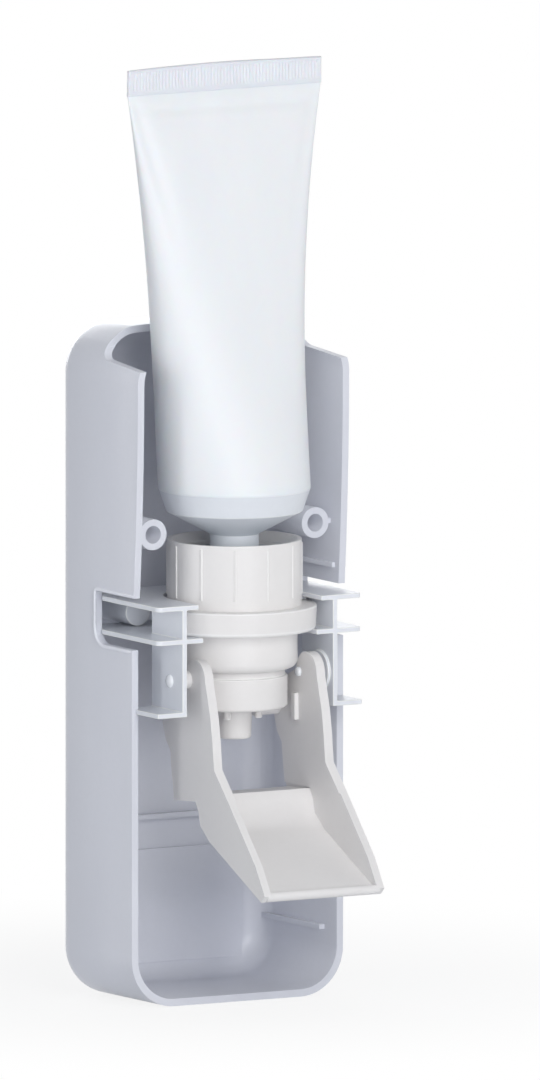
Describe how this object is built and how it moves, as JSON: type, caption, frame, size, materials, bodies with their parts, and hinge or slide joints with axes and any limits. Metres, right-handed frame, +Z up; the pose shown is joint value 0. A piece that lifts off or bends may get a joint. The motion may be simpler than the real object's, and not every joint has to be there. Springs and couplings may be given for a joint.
{
  "type": "toothpaste dispenser",
  "caption": "Wall-hung hands-free toothpaste dispenser, front cover off: open shell, vacuum pump, brush lever with tray, and an upright blank tube plugged into the pump.",
  "frame": {"origin": "centre of the adhesive pad's back face, where the wall plate sticks to the wall", "axes": "+Z up along the height, +Y into the wall, so the open front faces -Y; +X to the right as seen from the front"},
  "size_m": [0.06, 0.0838, 0.2315],
  "materials": {
    "housing": "satin gloss moulded plastic, cool white",
    "bracket": "satin gloss moulded plastic, cool white",
    "pump": "satin moulded plastic, warm white",
    "lever": "satin moulded plastic, warm white",
    "pin": "polished moulded plastic, white",
    "tube": "soft glossy laminate, blank white",
    "shoulder": "moulded plastic, white",
    "silicone": "soft translucent rubber",
    "seal": "soft grey rubber",
    "bumper": "matt grey rubber",
    "adhesive": "thin foam tape",
    "wall_plate": "moulded plastic, white",
    "spring": "drawn stainless wire",
    "screw": "zinc plated steel"
  },
  "bodies": {
    "wall_mount": {"adhesive_pad": "adhesive", "wall_plate": "wall_plate"},
    "dispenser": {"rear_housing": "housing", "wall_bumper_left": "bumper", "wall_bumper_right": "bumper", "pump_bracket": "bracket", "bracket_screw_left": "screw", "bracket_screw_right": "screw", "pivot_pin_left": "pin", "pivot_pin_right": "pin", "pump_flange": "pump", "pump_cylinder": "pump", "tube_collar": "pump", "valve_seat": "pin", "inlet_valve": "silicone", "neck_seal": "silicone", "return_spring": "spring"},
    "plunger": {"plunger_cup": "pump", "piston_seal": "seal", "outlet_valve": "silicone", "nozzle": "pump"},
    "lever": {"lever": "lever"},
    "tube": {"tube_shoulder": "shoulder", "tube_body": "tube"}
  },
  "joints": [
    {"name": "dispenser_lift", "type": "slide", "parent": "wall_mount", "child": "dispenser", "axis": [0, 0, 1], "range_m": [0, 0.0063]},
    {"name": "lever_hinge", "type": "hinge", "parent": "dispenser", "child": "lever", "pos_m": [0, -0.0464, -0.0469], "axis": [1, 0, 0], "range_deg": [0, 18], "stiffness_Nm_per_rad": 0.3, "springref_deg": -14.32},
    {"name": "plunger_slide", "type": "slide", "parent": "dispenser", "child": "plunger", "axis": [0, 0, 1], "range_m": [0, 0.00375], "deforming": ["return_spring"]},
    {"name": "tube_lift", "type": "slide", "parent": "dispenser", "child": "tube", "axis": [0, 0, 1], "range_m": [0, 0.035]}
  ],
  "couplings": [
    {"joint": "plunger_slide", "follows": "lever_hinge", "m_per_rad": 0.0118}
  ]
}
